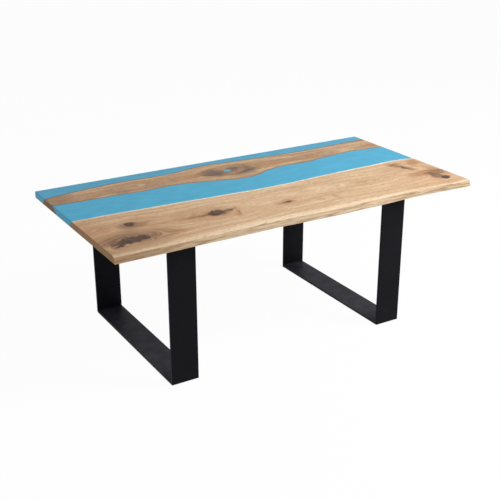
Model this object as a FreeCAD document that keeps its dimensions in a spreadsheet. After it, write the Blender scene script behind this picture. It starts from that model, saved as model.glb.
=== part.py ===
import FreeCAD, Part
import math
import os

import Sketcher

from FreeCAD import Vector

# Dining table, about 2 m long: two live-edge hardwood boards cast in blue resin as one flat top,
# carried by two frames of wide flat steel bar. Millimetres. The origin is on the floor under the
# middle of the top, +X runs along the length, -Y is the side with the natural front edge, +Z up.

doc = FreeCAD.newDocument("ResinDiningTable")

# Driving sizes
SIZES = [
    ("top_length", 2000.0),
    ("top_width", 1000.0),
    ("top_thick", 34.0),
    ("slope_drop", 5.0),
    ("front_lean", 28.0),
    ("middle_front_lean", 50.0),
    ("middle_rear_lean", 25.0),
    ("frame_height", 696.0),
    ("left_overhang", 272.0),
    ("right_overhang", 390.0),
    ("front_inset", 60.0),
    ("rear_inset", 30.0),
    ("bar_width", 140.0),
    ("bar_thick", 10.0),
    ("bar_edge_round", 1.2),
    ("pad_thick", 2.0),
    ("pad_length", 60.0),
    ("pad_side_gap", 8.0),
    ("pad_end_gap", 6.0),
    ("weld_leg", 6.0),
    ("weld_end_gap", 6.0),
    ("bolt_shank", 8.0),
    ("bolt_reach", 16.0),
    ("bolt_head_width", 14.0),
    ("bolt_head_rise", 4.4),
    ("bolt_socket_width", 5.0),
    ("bolt_socket_depth", 2.6),
    ("washer_outer", 24.0),
    ("washer_clearance", 0.4),
    ("washer_thick", 2.0),
    ("insert_wall", 2.0),
    ("insert_length", 16.0),
    ("insert_tip_gap", 4.0),
    ("bolt_hole_clearance", 1.0),
    ("slot_travel", 10.0),
    ("bolt_edge_gap", 25.0),
    ("filler_depth", 5.0),
]

sheet = doc.addObject("Spreadsheet::Sheet", "Sizes")
for row, (word, value) in enumerate(SIZES, start=1):
    sheet.set("A%d" % row, word)
    sheet.set("B%d" % row, str(value))
    sheet.setAlias("B%d" % row, word)
doc.recompute()


def size(word):
    return float(sheet.get(word))


LENGTH = size("top_length")
WIDTH = size("top_width")
THICK = size("top_thick")
TOP_BASE = size("frame_height")

# Board outlines as shares of the top: along the length from the left end, then across the
# width from the front edge.
river_front_share = [
    (0.0, 0.494), (0.033, 0.494), (0.072, 0.493), (0.111, 0.492), (0.151, 0.488),
    (0.192, 0.484), (0.234, 0.480), (0.275, 0.477), (0.316, 0.471), (0.359, 0.464),
    (0.405, 0.461), (0.449, 0.455), (0.494, 0.451), (0.552, 0.452), (0.603, 0.454),
    (0.656, 0.463), (0.708, 0.468), (0.762, 0.473), (0.807, 0.477), (0.852, 0.479),
    (0.889, 0.483), (0.923, 0.486), (0.963, 0.480), (1.0, 0.466),
]
river_rear_share = [
    (0.0, 0.742), (0.038, 0.739), (0.079, 0.735), (0.120, 0.733), (0.161, 0.730),
    (0.203, 0.724), (0.247, 0.722), (0.294, 0.727), (0.329, 0.724), (0.363, 0.714),
    (0.400, 0.695), (0.441, 0.672), (0.482, 0.649), (0.515, 0.643), (0.546, 0.650),
    (0.587, 0.686), (0.623, 0.708), (0.659, 0.716), (0.699, 0.715), (0.736, 0.714),
    (0.777, 0.730), (0.815, 0.742), (0.862, 0.750), (0.908, 0.753), (0.950, 0.745),
    (1.0, 0.738),
]
middle_rear_share = [
    (0.0, 0.861), (0.047, 0.880), (0.084, 0.892), (0.115, 0.902), (0.149, 0.909),
    (0.184, 0.917), (0.220, 0.920), (0.264, 0.916), (0.315, 0.911), (0.368, 0.917),
    (0.423, 0.940), (0.468, 0.952), (0.514, 0.945), (0.563, 0.933), (0.612, 0.925),
    (0.660, 0.917), (0.710, 0.914), (0.770, 0.911), (0.826, 0.911), (0.891, 0.919),
    (0.952, 0.925), (1.0, 0.928),
]

# The natural front edge: where the flat top stops, where the slope turns down, and the underside
front_top_share = [
    (0.0, 0.028), (0.045, 0.029), (0.090, 0.028), (0.125, 0.034), (0.160, 0.043),
    (0.200, 0.048), (0.240, 0.051), (0.280, 0.053), (0.320, 0.056), (0.360, 0.059),
    (0.400, 0.060), (0.440, 0.058), (0.490, 0.053), (0.540, 0.050), (0.620, 0.050),
    (0.680, 0.049), (0.750, 0.046), (0.800, 0.047), (0.845, 0.046), (0.890, 0.038),
    (0.940, 0.028), (1.0, 0.020),
]
front_shoulder_share = [
    (0.0, 0.006), (0.045, 0.008), (0.090, 0.008), (0.160, 0.013), (0.240, 0.019),
    (0.320, 0.024), (0.400, 0.028), (0.470, 0.024), (0.540, 0.020), (0.620, 0.023),
    (0.680, 0.025), (0.750, 0.025), (0.800, 0.026), (0.845, 0.026), (0.890, 0.022),
    (0.940, 0.015), (1.0, 0.011),
]
front_bottom_share = [
    (0.0, 0.0), (0.050, 0.001), (0.100, 0.002), (0.160, 0.005), (0.210, 0.008),
    (0.280, 0.008), (0.360, 0.011), (0.410, 0.013), (0.470, 0.009), (0.540, 0.005),
    (0.580, 0.004), (0.640, 0.007), (0.680, 0.008), (0.740, 0.013), (0.800, 0.018),
    (0.850, 0.018), (0.900, 0.015), (0.935, 0.011), (0.970, 0.008), (1.0, 0.006),
]

# Knots: place along and across as shares of the length and width, then half length and half
# width as shares of the width, and the turn in degrees
knot_plug_share = [(0.501, 0.803, 0.025, 0.018, 0.0)]
knot_filler_share = [
    (0.1065, 0.328, 0.023, 0.022, 10.0),
    (0.038, 0.104, 0.016, 0.009, 30.0),
    (0.0665, 0.142, 0.030, 0.024, 8.0),
    (0.1005, 0.146, 0.015, 0.014, -10.0),
    (0.314, 0.250, 0.036, 0.024, 5.0),
    (0.352, 0.250, 0.014, 0.007, 10.0),
    (0.500, 0.212, 0.014, 0.007, 0.0),
    (0.919, 0.345, 0.022, 0.007, -60.0),
    (0.960, 0.108, 0.020, 0.017, 0.0),
]
# Radius of a knot's outline at equal turns about its middle, as shares of the even oval
knot_outline_share = [1.0, 0.86, 1.04, 0.92, 1.0, 0.84, 0.98, 1.08, 0.95, 0.88]

# How far from the front the casting blanks start and stop, as shares of the width
river_start_share = 0.40
river_stop_share = 0.82

# Bolt rows of a frame across the width, from the front: two in the front board, one behind
bolt_row_share = {"Front": 0.12, "Middle": 0.35, "Rear": 0.82}
# Degrees by which each bolt's socket is turned from the last one's
bolt_turn_share = 20.0


def at(share_x, share_y, shift=0.0):
    return Vector((share_x - 0.5) * LENGTH, (share_y - 0.5) * WIDTH + shift, 0.0)


def edge_curve(shares, shift=0.0):
    curve = Part.BSplineCurve()
    curve.interpolate([at(u, v, shift) for u, v in shares])
    return curve


def origin_plane(body, role):
    for feature in body.Origin.OriginFeatures:
        if feature.Role == role:
            return feature
    raise ValueError(role)


def flat_sketch(body, name, lift=None):
    sketch = body.newObject("Sketcher::SketchObject", name)
    sketch.AttachmentSupport = [(origin_plane(body, "XY_Plane"), "")]
    sketch.MapMode = "FlatFace"
    if lift:
        sketch.setExpression(".AttachmentOffset.Base.z", lift)
    return sketch


def board_section(body, name, lift, front, front_shift, rear, rear_shift):
    sketch = flat_sketch(body, name, lift)
    front_curve = edge_curve(front, front_shift)
    rear_curve = edge_curve(rear, rear_shift)
    a, b = front_curve.StartPoint, front_curve.EndPoint
    d, c = rear_curve.StartPoint, rear_curve.EndPoint
    sketch.addGeometry(front_curve, False)
    sketch.addGeometry(Part.LineSegment(b, c), False)
    sketch.addGeometry(rear_curve, False)
    sketch.addGeometry(Part.LineSegment(d, a), False)
    return sketch


def board_blank(name, sections):
    body = doc.addObject("PartDesign::Body", name)
    sketches = [board_section(body, name + "Section%d" % i, *s) for i, s in enumerate(sections)]
    loft = body.newObject("PartDesign::AdditiveLoft", name + "Loft")
    loft.Profile = sketches[0]
    loft.Sections = sketches[1:]
    loft.Ruled = True
    body.setExpression(".Placement.Base.z", "Sizes.frame_height")
    return body


# Front board: natural edge to the front, leaning live edge under the resin behind
lean = size("front_lean")
front_blank = board_blank("FrontBlank", [
    (None, front_bottom_share, 0.0, river_front_share, lean),
    ("Sizes.top_thick - Sizes.slope_drop", front_shoulder_share, 0.0, river_front_share,
     lean * size("slope_drop") / THICK),
    ("Sizes.top_thick", front_top_share, 0.0, river_front_share, 0.0),
])

# Middle board: live edges on both sides, wider underneath
middle_blank = board_blank("MiddleBlank", [
    (None, river_rear_share, -size("middle_front_lean"), middle_rear_share,
     size("middle_rear_lean")),
    ("Sizes.top_thick", river_rear_share, 0.0, middle_rear_share, 0.0),
])


def knot_prism(name, place, depth, base_z):
    share_x, share_y, half_long, half_wide, turn = place
    middle = at(share_x, share_y)
    points = []
    count = len(knot_outline_share)
    for i, factor in enumerate(knot_outline_share):
        angle = 2.0 * math.pi * i / count
        x = half_long * WIDTH * factor * math.cos(angle)
        y = half_wide * WIDTH * factor * math.sin(angle)
        bend = math.radians(turn)
        points.append(middle + Vector(x * math.cos(bend) - y * math.sin(bend),
                                      x * math.sin(bend) + y * math.cos(bend), 0.0))
    outline = Part.BSplineCurve()
    outline.interpolate(points, PeriodicFlag=True)
    sketch = doc.addObject("Sketcher::SketchObject", name + "Outline")
    sketch.addGeometry(outline, False)
    sketch.setExpression(".Placement.Base.z", base_z)
    prism = doc.addObject("Part::Extrusion", name)
    prism.Base = sketch
    prism.DirMode = "Custom"
    prism.Dir = Vector(0.0, 0.0, 1.0)
    prism.setExpression("LengthFwd", depth)
    prism.Solid = True
    return prism


def compound(name, links):
    group = doc.addObject("Part::Compound", name)
    group.Links = links
    return group


def cut(name, base, tool):
    result = doc.addObject("Part::Cut", name)
    result.Base = base
    result.Tool = tool
    return result


# Cast-in knot of the middle board, right through it
plug_through = knot_prism("KnotPlug", knot_plug_share[0], "Sizes.top_thick",
                          "Sizes.frame_height")
plug_tool = knot_prism("KnotPlugHole", knot_plug_share[0], "Sizes.top_thick",
                       "Sizes.frame_height")

# Dark filled knots and cracks let into the face of the front board
filler_base = "Sizes.frame_height + Sizes.top_thick - Sizes.filler_depth"
fillers = [knot_prism("Filler%d" % i, place, "Sizes.filler_depth", filler_base)
           for i, place in enumerate(knot_filler_share)]
filler_tools = [knot_prism("FillerPocket%d" % i, place, "Sizes.filler_depth", filler_base)
                for i, place in enumerate(knot_filler_share)]
knot_fillers = compound("KnotFillers", fillers)

# Bolt places of the two frames
frame_side_share = {"Left": -1.0, "Right": 1.0}
frame_end_share = {"Front": -1.0, "Rear": 1.0}
bolt_column_share = {"Outer": -1.0, "Inner": 1.0}


def frame_x(side_name):
    overhang = size(side_name.lower() + "_overhang")
    return frame_side_share[side_name] * (LENGTH / 2.0 - overhang - size("bar_width") / 2.0)


def column_x(column):
    return column * (size("bar_width") / 2.0 - size("bolt_edge_gap"))


def row_y(row_name):
    return (bolt_row_share[row_name] - 0.5) * WIDTH


middle_y = (size("front_inset") - size("rear_inset")) / 2.0


def frame_x_text(side_name):
    return "%g * (Sizes.top_length / 2 - Sizes.%s_overhang - Sizes.bar_width / 2)" % (
        frame_side_share[side_name], side_name.lower())


def insert_hole(name, side_name, column, row_name):
    hole = doc.addObject("Part::Cylinder", name)
    hole.setExpression("Radius", "Sizes.bolt_shank / 2 + Sizes.insert_wall")
    hole.setExpression("Height", "Sizes.insert_length + Sizes.insert_tip_gap")
    hole.setExpression(".Placement.Base.x",
                       "%s + %g * (Sizes.bar_width / 2 - Sizes.bolt_edge_gap)"
                       % (frame_x_text(side_name), column))
    hole.setExpression(".Placement.Base.y",
                       "(%g - 0.5) * Sizes.top_width" % bolt_row_share[row_name])
    hole.setExpression(".Placement.Base.z", "Sizes.frame_height")
    return hole


front_holes = []
middle_holes = []
for side_name in frame_side_share:
    for row_name in bolt_row_share:
        for column_name, column in bolt_column_share.items():
            hole = insert_hole("Hole" + side_name + row_name + column_name, side_name, column,
                               row_name)
            (middle_holes if row_name == "Rear" else front_holes).append(hole)

front_board = cut("FrontBoard", front_blank,
                  compound("FrontBoardTools", front_holes + filler_tools))
middle_board = cut("MiddleBoard", middle_blank,
                   compound("MiddleBoardTools", middle_holes + [plug_tool]))


# Blue resin: the casting between the boards and the strip behind the middle board
def casting(name, start_share, stop_share):
    box = doc.addObject("Part::Box", name)
    box.setExpression("Length", "Sizes.top_length")
    box.setExpression("Width", "(%g - %g) * Sizes.top_width" % (stop_share, start_share))
    box.setExpression("Height", "Sizes.top_thick")
    box.setExpression(".Placement.Base.x", "-Sizes.top_length / 2")
    box.setExpression(".Placement.Base.y", "(%g - 0.5) * Sizes.top_width" % start_share)
    box.setExpression(".Placement.Base.z", "Sizes.frame_height")
    return box


river_resin = cut("RiverResin",
                  cut("RiverBehindFront", casting("RiverBlank", river_start_share,
                                                  river_stop_share), front_blank),
                  middle_blank)
edge_resin = cut("EdgeResin", casting("EdgeBlank", river_stop_share, 1.0), middle_blank)


# Steel bars of the frames
def rectangle(sketch, across, along):
    corners = [Vector(-1, -1, 0), Vector(1, -1, 0), Vector(1, 1, 0), Vector(-1, 1, 0)]
    for i in range(4):
        sketch.addGeometry(Part.LineSegment(corners[i], corners[(i + 1) % 4]), False)
    constraint = Sketcher.Constraint
    for i in range(4):
        sketch.addConstraint(constraint("Coincident", i, 2, (i + 1) % 4, 1))
    for i in (0, 2):
        sketch.addConstraint(constraint("Horizontal", i))
        sketch.addConstraint(constraint("Vertical", i + 1))
    sketch.addConstraint(constraint("Symmetric", 0, 1, 2, 1, -1, 1))
    start = corners[2] - corners[0]
    wide = sketch.addConstraint(constraint("DistanceX", 0, 1, 0, 2, start.x))
    deep = sketch.addConstraint(constraint("DistanceY", 1, 1, 1, 2, start.y))
    sketch.setExpression("Constraints[%d]" % wide, across)
    sketch.setExpression("Constraints[%d]" % deep, along)


def bar(name, across, along, thick, place):
    body = doc.addObject("PartDesign::Body", name)
    sketch = flat_sketch(body, name + "Outline")
    rectangle(sketch, across, along)
    pad = body.newObject("PartDesign::Pad", name + "Pad")
    pad.Profile = sketch
    pad.setExpression("Length", thick)
    for axis, text in zip("xyz", place):
        body.setExpression(".Placement.Base." + axis, text)
    doc.recompute()
    return body, pad


def round_edges(body, feature, name, wanted):
    edges = ["Edge%d" % (i + 1) for i, edge in enumerate(feature.Shape.Edges) if wanted(edge)]
    fillet = body.newObject("PartDesign::Fillet", name)
    fillet.Base = (feature, edges)
    fillet.setExpression("Radius", "Sizes.bar_edge_round")
    return fillet


def upright_edge(side_y):
    def wanted(edge):
        middle = edge.CenterOfMass
        rises = abs(edge.Vertexes[0].Point.z - edge.Vertexes[-1].Point.z) > 0
        outer = middle.y * side_y > 0
        low = middle.z <= edge.BoundBox.DiagonalLength and not rises and middle.z < THICK
        return outer and (rises or low)
    return wanted


def slot(sketch, x, y, half_wide, half_travel):
    top, bottom = Vector(x, y + half_travel, 0), Vector(x, y - half_travel, 0)
    up = Vector(0, 0, 1)
    sketch.addGeometry(Part.ArcOfCircle(Part.Circle(top, up, half_wide), 0.0, math.pi), False)
    sketch.addGeometry(Part.ArcOfCircle(Part.Circle(bottom, up, half_wide), math.pi,
                                        2.0 * math.pi), False)
    for way in (-1.0, 1.0):
        shift = Vector(way * half_wide, 0, 0)
        sketch.addGeometry(Part.LineSegment(top + shift, bottom + shift), False)


def top_bar_holes(body, name):
    sketch = flat_sketch(body, name)
    half_wide = (size("bolt_shank") + size("bolt_hole_clearance")) / 2.0
    for row_name in bolt_row_share:
        for column in bolt_column_share.values():
            x, y = column_x(column), row_y(row_name) - middle_y
            if row_name == "Middle":
                sketch.addGeometry(Part.Circle(Vector(x, y, 0), Vector(0, 0, 1), half_wide),
                                   False)
            else:
                slot(sketch, x, y, half_wide, size("slot_travel") / 2.0)
    pocket = body.newObject("PartDesign::Pocket", name + "Pocket")
    pocket.Profile = sketch
    pocket.Reversed = True
    pocket.setExpression("Length", "Sizes.bar_thick")
    return pocket


def group(name, shapes):
    feature = doc.addObject("Part::Feature", name)
    feature.Shape = Part.makeCompound(shapes)
    return feature


def placed(shape, x, y, z, turn_x=0.0, turn_z=0.0):
    copy = shape.copy()
    copy.rotate(Vector(0, 0, 0), Vector(1, 0, 0), turn_x)
    copy.rotate(Vector(0, 0, 0), Vector(0, 0, 1), turn_z)
    copy.translate(Vector(x, y, z))
    return copy


# Fastener masters, head down: a socket button-head bolt, its washer and its threaded insert
def cylinder(name, radius, height, lift=None):
    part = doc.addObject("Part::Cylinder", name)
    part.setExpression("Radius", radius)
    part.setExpression("Height", height)
    if lift:
        part.setExpression(".Placement.Base.z", lift)
    return part


bolt_shank = cylinder("BoltShank", "Sizes.bolt_shank / 2",
                      "Sizes.washer_thick + Sizes.bar_thick + Sizes.bolt_reach")
bolt_head = doc.addObject("Part::Cone", "BoltHead")
bolt_head.setExpression("Radius2", "Sizes.bolt_head_width / 2")
bolt_head.setExpression("Radius1", "Sizes.bolt_head_width / 3")
bolt_head.setExpression("Height", "Sizes.bolt_head_rise")
bolt_head.setExpression(".Placement.Base.z", "-Sizes.bolt_head_rise")
bolt_socket = doc.addObject("Part::Prism", "BoltSocket")
bolt_socket.Polygon = 6
bolt_socket.setExpression("Circumradius", "Sizes.bolt_socket_width / sqrt(3)")
bolt_socket.setExpression("Height", "Sizes.bolt_socket_depth")
bolt_socket.setExpression(".Placement.Base.z", "-Sizes.bolt_head_rise")
bolt_solid = doc.addObject("Part::Fuse", "BoltSolid")
bolt_solid.Base = bolt_shank
bolt_solid.Tool = bolt_head
bolt = cut("Bolt", bolt_solid, bolt_socket)

washer = cut("Washer", cylinder("WasherDisc", "Sizes.washer_outer / 2", "Sizes.washer_thick"),
             cylinder("WasherBore", "(Sizes.bolt_shank + Sizes.washer_clearance) / 2",
                      "Sizes.washer_thick"))
insert = cut("Insert", cylinder("InsertBarrel", "Sizes.bolt_shank / 2 + Sizes.insert_wall",
                                "Sizes.insert_length"),
             cylinder("InsertBore", "Sizes.bolt_shank / 2", "Sizes.insert_length"))

# Weld bead of the frame corners: a shallow-faced fillet along the bar's width
bead = doc.addObject("PartDesign::Body", "WeldBead")
bead_sketch = bead.newObject("Sketcher::SketchObject", "WeldBeadSection")
bead_sketch.AttachmentSupport = [(origin_plane(bead, "YZ_Plane"), "")]
bead_sketch.MapMode = "FlatFace"
leg = size("weld_leg")
corner, along_leg, up_leg = Vector(0, 0, 0), Vector(leg, 0, 0), Vector(0, leg, 0)
belly = Vector(leg * 0.55, leg * 0.55, 0)
bead_sketch.addGeometry(Part.LineSegment(corner, along_leg), False)
bead_sketch.addGeometry(Part.Arc(along_leg, belly, up_leg), False)
bead_sketch.addGeometry(Part.LineSegment(up_leg, corner), False)
bead_pad = bead.newObject("PartDesign::Pad", "WeldBeadPad")
bead_pad.Profile = bead_sketch
bead_pad.Midplane = True
bead_pad.setExpression("Length", "Sizes.bar_width - 2 * Sizes.weld_end_gap")
doc.recompute()

nodes = {
    "front_board": front_board,
    "middle_board": middle_board,
    "river_resin": river_resin,
    "edge_resin": edge_resin,
    "knot_plug": plug_through,
    "knot_fillers": knot_fillers,
}

INNER_DEPTH = "Sizes.top_width - Sizes.front_inset - Sizes.rear_inset - 2 * Sizes.bar_thick"
MIDDLE_Y = "(Sizes.front_inset - Sizes.rear_inset) / 2"
frame_low = size("pad_thick")
inner_y = {end_name: end * (WIDTH / 2.0 - size(end_name.lower() + "_inset") - size("bar_thick"))
           for end_name, end in frame_end_share.items()}

for side_name in frame_side_share:
    low = side_name.lower()
    place_x = frame_x_text(side_name)
    for end_name, end in frame_end_share.items():
        name = side_name + end_name + "Upright"
        body, pad = bar(name, "Sizes.bar_width", "Sizes.bar_thick",
                        "Sizes.frame_height - Sizes.pad_thick",
                        (place_x, "%g * (Sizes.top_width / 2 - Sizes.%s_inset"
                         " - Sizes.bar_thick / 2)" % (end, end_name.lower()),
                         "Sizes.pad_thick"))
        round_edges(body, pad, name + "Round", upright_edge(end))
        nodes[low + "_" + end_name.lower() + "_upright"] = body

    foot_bar, foot_pad = bar(side_name + "FootBar", "Sizes.bar_width", INNER_DEPTH,
                             "Sizes.bar_thick", (place_x, MIDDLE_Y, "Sizes.pad_thick"))
    top_bar, top_pad = bar(side_name + "TopBar", "Sizes.bar_width", INNER_DEPTH,
                           "Sizes.bar_thick",
                           (place_x, MIDDLE_Y, "Sizes.frame_height - Sizes.bar_thick"))
    top_bar_holes(top_bar, side_name + "TopBarHoles")
    nodes[low + "_foot_bar"] = foot_bar
    nodes[low + "_top_bar"] = top_bar

    x = frame_x(side_name)
    foot_face = frame_low + size("bar_thick")
    top_face = TOP_BASE - size("bar_thick")
    nodes[low + "_welds"] = group(side_name + "Welds", [
        placed(bead.Shape, x, inner_y["Front"], foot_face),
        placed(bead.Shape, x, inner_y["Rear"], foot_face, 90.0),
        placed(bead.Shape, x, inner_y["Rear"], top_face, 180.0),
        placed(bead.Shape, x, inner_y["Front"], top_face, 270.0),
    ])

    spots = [(x + column_x(column), row_y(row_name))
             for row_name in bolt_row_share for column in bolt_column_share.values()]
    washer_z = top_face - size("washer_thick")
    nodes[low + "_bolts"] = group(side_name + "Bolts", [
        placed(bolt.Shape, sx, sy, washer_z, 0.0, bolt_turn_share * i)
        for i, (sx, sy) in enumerate(spots)])
    nodes[low + "_washers"] = group(side_name + "Washers", [
        placed(washer.Shape, sx, sy, washer_z) for sx, sy in spots])
    nodes[low + "_inserts"] = group(side_name + "Inserts", [
        placed(insert.Shape, sx, sy, TOP_BASE) for sx, sy in spots])

    pads = []
    for end_name, end in frame_end_share.items():
        pad = doc.addObject("Part::Box", side_name + end_name + "FloorPad")
        pad.setExpression("Length", "Sizes.bar_width - 2 * Sizes.pad_side_gap")
        pad.setExpression("Width", "Sizes.pad_length")
        pad.setExpression("Height", "Sizes.pad_thick")
        pad.setExpression(".Placement.Base.x", "%s - (Sizes.bar_width - 2 * Sizes.pad_side_gap)"
                          " / 2" % place_x)
        pad.setExpression(".Placement.Base.y", "%g * (Sizes.top_width / 2 - Sizes.%s_inset"
                          " - Sizes.pad_end_gap - Sizes.pad_length / 2)"
                          " - Sizes.pad_length / 2" % (end, end_name.lower()))
        pads.append(pad)
    nodes[low + "_floor_pads"] = compound(side_name + "FloorPads", pads)

doc.recompute()

# Every object sound before anything is written
for thing in doc.Objects:
    if "Invalid" in thing.State or "Error" in thing.State:
        raise RuntimeError("failed: %s %s" % (thing.Name, thing.State))
for node, thing in nodes.items():
    thing.Label = node
    if thing.Shape.isNull() or not thing.Shape.isValid():
        raise RuntimeError("bad shape: " + node)

os.makedirs("parts", exist_ok=True)
for node, thing in nodes.items():
    box = thing.Shape.BoundBox
    print("%-22s solids %2d volume %.0f x %.1f %.1f y %.1f %.1f z %.1f %.1f" % (
        node, len(thing.Shape.Solids), thing.Shape.Volume, box.XMin, box.XMax,
        box.YMin, box.YMax, box.ZMin, box.ZMax))
    thing.Shape.exportStep(os.path.join("parts", node + ".step"))
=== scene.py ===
import math

import bmesh
import bpy
import numpy as np
from mathutils import Matrix, Vector, noise


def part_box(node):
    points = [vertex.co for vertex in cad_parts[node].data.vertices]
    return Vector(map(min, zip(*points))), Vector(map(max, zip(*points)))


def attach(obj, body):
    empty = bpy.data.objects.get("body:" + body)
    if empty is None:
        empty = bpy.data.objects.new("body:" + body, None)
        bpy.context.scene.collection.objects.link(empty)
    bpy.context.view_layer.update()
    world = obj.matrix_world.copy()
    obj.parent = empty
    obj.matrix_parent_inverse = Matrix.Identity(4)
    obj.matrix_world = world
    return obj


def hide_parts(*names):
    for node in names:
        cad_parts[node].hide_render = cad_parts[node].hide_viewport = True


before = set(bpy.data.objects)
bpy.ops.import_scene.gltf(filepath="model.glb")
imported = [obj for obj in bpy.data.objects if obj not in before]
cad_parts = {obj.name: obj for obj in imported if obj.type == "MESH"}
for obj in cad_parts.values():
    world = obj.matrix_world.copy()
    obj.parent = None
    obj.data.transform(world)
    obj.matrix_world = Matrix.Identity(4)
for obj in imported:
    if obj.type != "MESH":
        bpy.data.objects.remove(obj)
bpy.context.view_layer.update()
noise.seed_set(5)               # torn outlines come out the same each time

# Sizes in metres
MM = 0.001
board_low, board_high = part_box("front_board")
top_length = board_high.x - board_low.x
top_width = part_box("edge_resin")[1].y - board_low.y
underside, top_face, front_line = board_low.z, board_high.z, board_low.y
face_drop = 0.1 * MM            # the knot plug and fillers stand this much proud of the boards
end_ease = 1.6 * MM             # sanded arris of the sawn ends
station_step = 4.0 * MM         # between the cross-sections that the boards are drawn through
front_lean = 28.0 * MM          # how far each live edge leans into the resin on its way down
middle_front_lean = 50.0 * MM
middle_rear_lean = 25.0 * MM
slope_drop = 5.0 * MM           # from the top face down to the worn arris of the front edge
slope_share, slope_curve = 0.80, 1.6    # how much of that slope is left, and how it falls
arris_share = 0.16              # how much of the steep face the worn arris takes
ridge_depth = 1.3 * MM          # of the ridges along the fibres of the front edge
tear_long, tear_wide = 15, 9    # how far hearts and stains are torn, in mm
filler_depth, filler_ease = 5.0 * MM, 0.3 * MM
# Button-head bolts with hexagon sockets, in three rows of two on each frame
bolt_rise, bolt_head_radius, bolt_shank_radius = 4.4 * MM, 7.0 * MM, 4.0 * MM
socket_flat, socket_depth, bolt_length = 2.5 * MM, 2.6 * MM, 28.0 * MM
head_rim, tip_ease, dome_turn = 0.7 * MM, 0.6 * MM, math.radians(62)
bolt_row_share = (0.12, 0.35, 0.82)
bolt_inset = 25.0 * MM          # from the long sides of the top bar
weld_leg, weld_pitch, weld_end_gap = 6.0 * MM, 2.4 * MM, 12.0 * MM

# Board outlines in thousandths of the length, from the left, and of the width, from the front
river_front_share = [
    (0, 494), (33, 494), (72, 493), (111, 492), (151, 488), (192, 484), (234, 480), (275, 477),
    (316, 471), (359, 464), (405, 461), (449, 455), (494, 451), (552, 452), (603, 454), (656, 463),
    (708, 468), (762, 473), (807, 477), (852, 479), (889, 483), (923, 486), (963, 480),
    (1000, 466),
]
river_rear_share = [
    (0, 742), (38, 739), (79, 735), (120, 733), (161, 730), (203, 724), (247, 722), (294, 727),
    (329, 724), (363, 714), (400, 695), (441, 672), (482, 649), (515, 643), (546, 650), (587, 686),
    (623, 708), (659, 716), (699, 715), (736, 714), (777, 730), (815, 742), (862, 750), (908, 753),
    (950, 745), (1000, 738),
]
middle_rear_share = [
    (0, 861), (47, 880), (84, 892), (115, 902), (149, 909), (184, 917), (220, 920), (264, 916),
    (315, 911), (368, 917), (423, 940), (468, 952), (514, 945), (563, 933), (612, 925), (660, 917),
    (710, 914), (770, 911), (826, 911), (891, 919), (952, 925), (1000, 928),
]
front_top_share = [
    (0, 28), (45, 29), (90, 28), (125, 34), (160, 43), (200, 48), (240, 51), (280, 53), (320, 56),
    (360, 59), (400, 60), (440, 58), (490, 53), (540, 50), (620, 50), (680, 49), (750, 46),
    (800, 47), (845, 46), (890, 38), (940, 28), (1000, 20),
]
front_shoulder_share = [
    (0, 6), (45, 8), (90, 8), (160, 13), (240, 19), (320, 24), (400, 28), (470, 24), (540, 20),
    (620, 23), (680, 25), (750, 25), (800, 26), (845, 26), (890, 22), (940, 15), (1000, 11),
]
front_bottom_share = [
    (0, 0), (50, 1), (100, 2), (160, 5), (210, 8), (280, 8), (360, 11), (410, 13), (470, 9),
    (540, 5), (580, 4), (640, 7), (680, 8), (740, 13), (800, 18), (850, 18), (900, 15), (935, 11),
    (970, 8), (1000, 6),
]

# Knots: place in thousandths of the length and width, half length and half width in mm, turn
# in degrees, and how dark the heart is
front_knots = [
    (106.5, 328, 27, 28, 10, 0.95), (38, 106, 30, 15, 38, 1), (66.5, 146, 46, 38, 4, 0.95),
    (99, 144, 34, 34, -10, 0.84), (66, 130, 98, 27, 4, 0.78), (314, 254, 42, 36, 4, 0.95),
    (280, 252, 44, 10, 0, 0.36), (347, 262, 30, 12, 8, 0.38), (358, 210, 26, 8, 62, 0.32),
    (499, 212, 34, 13, 4, 0.36), (921, 345, 52, 14, -66, 0.32), (950, 185, 52, 22, 62, 0.28),
    (962, 110, 27, 24, 20, 1),
]
middle_knots = [
    (500, 802, 62, 40, 0, 0), (501, 803, 33, 25, 0, 1),
]
# Stains round the knots: place, half length, half width, turn and how strong. A seventh value
# says how far towards the front the stain reaches before a crack stops it, in half widths.
front_stains = [
    (69, 162, 128, 84, 2, 1, -0.66), (85, 160, 250, 110, 0, 0.4), (101, 316, 60, 56, 10, 0.7),
    (34, 166, 52, 40, 10, 0.85), (22, 152, 64, 56, 0, 0.6), (134, 302, 40, 24, 0, 0.5),
    (122, 160, 56, 44, 0, 0.45), (95, 270, 130, 50, 30, 0.3), (30, 50, 330, 50, 0, 0.25),
    (100, 130, 170, 60, 0, 0.4), (270, 250, 90, 16, -2, 0.4), (316, 252, 72, 54, 4, 0.55),
    (350, 262, 50, 18, 10, 0.5), (358, 205, 36, 14, 66, 0.34), (498, 212, 48, 24, 8, 0.38),
    (583, 160, 26, 24, 0, 0.35), (625, 165, 24, 44, 0, 0.25), (919, 365, 92, 24, -66, 0.52),
    (913, 415, 34, 16, 10, 0.5), (960, 218, 76, 34, 10, 0.7), (954, 165, 72, 34, 64, 0.8),
    (984, 200, 50, 46, 0, 0.75), (958.5, 142, 50, 24, 76, 0.8),
]
middle_stains = [
    (455, 800, 92, 88, 0, 0.8), (456, 796, 38, 62, -8, 0.45), (540, 778, 108, 100, 0, 0.85),
    (530, 796, 44, 60, 10, 0.4), (500, 752, 110, 60, 0, 0.35), (190, 770, 80, 26, 0, 0.4),
    (10, 800, 150, 160, 0, 0.4),
]
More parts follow.
